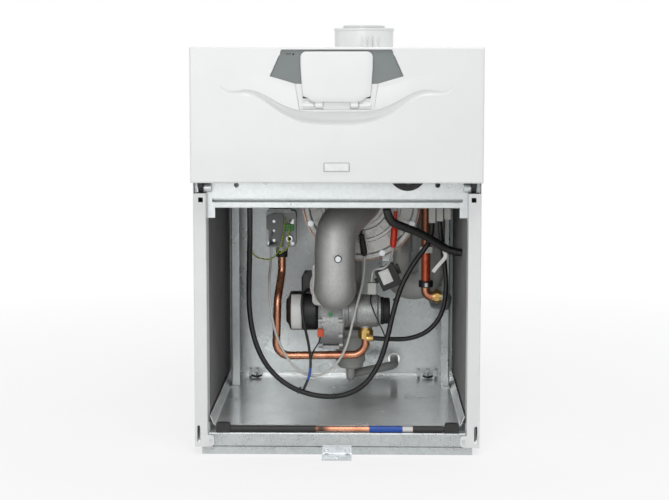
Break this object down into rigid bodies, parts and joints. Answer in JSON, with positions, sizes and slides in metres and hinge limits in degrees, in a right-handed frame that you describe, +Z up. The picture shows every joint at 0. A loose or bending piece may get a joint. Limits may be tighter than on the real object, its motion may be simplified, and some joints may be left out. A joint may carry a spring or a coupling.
{
  "type": "floor-standing condensing boiler",
  "caption": "Floor-standing condensing boiler with its service door off: sculpted white fascia with a control flap over an open bay with burner, fan, gas and water pipes.",
  "frame": {"origin": "middle of the footprint on the floor", "axes": "+Z up, +X to the right seen from the front, front faces -Y"},
  "size_m": [0.6, 0.65, 0.909],
  "materials": {
    "white_sheet": "smooth powder coat, satin",
    "galvanised": "galvanised sheet, softly mottled",
    "dark_foam": "dark felt-faced foam",
    "white_moulding": "moulded white plastic, satin",
    "grey_moulding": "fine-grained grey plastic",
    "dark_moulding": "black moulded plastic",
    "clear_lens": "clear moulded lens",
    "steel": "zinc-plated steel",
    "cast_aluminium": "sand-cast, fine blasted",
    "copper": "drawn copper pipe, dulled",
    "brass": "turned brass",
    "black_rubber": "black rubber",
    "red_silicone": "red silicone",
    "pale_plastic": "pale technical plastic",
    "harness": "corrugated black sleeve",
    "white_silicone": "white silicone lead"
  },
  "bodies": {
    "boiler": {"side_panel_left": "white_sheet", "side_panel_right": "white_sheet", "top_panel": "white_sheet", "back_panel": "galvanised", "base_tray": "galvanised", "base_frame": "galvanised", "plinth": "galvanised", "door_bracket": "steel", "side_insulation": "dark_foam", "rear_uprights": "galvanised", "cross_beam": "galvanised", "brackets": "galvanised", "screws": "steel", "cross_tube": "copper", "rubber_grommets": "black_rubber", "flue_air_adapter": "white_moulding", "flue_gas_socket": "white_moulding", "exhaust_duct": "pale_plastic", "heat_exchanger": "cast_aluminium", "burner": "steel", "burner_door": "cast_aluminium", "door_gasket": "copper", "mixture_duct": "cast_aluminium", "ignition_electrode": "red_silicone", "ionisation_electrode": "black_rubber", "ignition_transformer": "dark_moulding", "fan_housing": "cast_aluminium", "fan_motor": "dark_moulding", "mixer": "cast_aluminium", "intake_rubber": "black_rubber", "gas_valve": "cast_aluminium", "gas_valve_front": "grey_moulding", "gas_pipe": "copper", "brass_fittings": "brass", "rear_pipes": "steel", "water_pipes": "copper", "condensate_trap": "pale_plastic", "wiring_plugs": "pale_plastic", "main_harness": "harness", "right_harness": "harness", "thick_sleeve": "harness", "ionisation_lead": "white_silicone", "ignition_lead": "white_silicone", "motor_lead": "harness"},
    "fascia": {"fascia_panel": "white_moulding", "control_inset": "grey_moulding", "flap_hinge_pins": "steel", "user_module": "dark_moulding", "display_lens": "clear_lens", "control_box": "dark_moulding", "fascia_hinge_arms": "dark_moulding"},
    "control_flap": {"control_flap": "white_moulding"},
    "menu_button": {"menu_button": "grey_moulding"},
    "up_button": {"up_button": "grey_moulding"},
    "down_button": {"down_button": "grey_moulding"},
    "rocker_switch": {"rocker_switch": "dark_moulding"},
    "air_test_cap": {"air_test_cap": "white_moulding"},
    "flue_test_cap": {"flue_test_cap": "white_moulding"},
    "fan_impeller": {"fan_impeller": "cast_aluminium"}
  },
  "joints": [
    {"name": "fascia_tilt", "type": "hinge", "parent": "boiler", "child": "fascia", "pos_m": [0, -0.263, 0.564], "axis": [1, 0, 0], "range_deg": [0, 45]},
    {"name": "flap_hinge", "type": "hinge", "parent": "fascia", "child": "control_flap", "pos_m": [0, -0.3185, 0.736], "axis": [1, 0, 0], "range_deg": [0, 100]},
    {"name": "menu_button_press", "type": "slide", "parent": "fascia", "child": "menu_button", "axis": [0, 1, 0], "range_m": [0, 0.0015], "stiffness_N_per_m": 400},
    {"name": "up_button_press", "type": "slide", "parent": "fascia", "child": "up_button", "axis": [0, 1, 0], "range_m": [0, 0.0015], "stiffness_N_per_m": 400},
    {"name": "down_button_press", "type": "slide", "parent": "fascia", "child": "down_button", "axis": [0, 1, 0], "range_m": [0, 0.0015], "stiffness_N_per_m": 400},
    {"name": "rocker_tip", "type": "hinge", "parent": "fascia", "child": "rocker_switch", "pos_m": [-0.01, -0.312, 0.764], "axis": [0, 0, 1], "range_deg": [-8, 8]},
    {"name": "impeller_spin", "type": "hinge", "parent": "boiler", "child": "fan_impeller", "pos_m": [0, -0.02, 0.267], "axis": [1, 0, 0], "continuous": true},
    {"name": "air_cap_lift", "type": "slide", "parent": "boiler", "child": "air_test_cap", "axis": [0, 0, 1], "range_m": [0, 0.014]},
    {"name": "flue_cap_lift", "type": "slide", "parent": "boiler", "child": "flue_test_cap", "axis": [0, 0, 1], "range_m": [0, 0.014]}
  ]
}
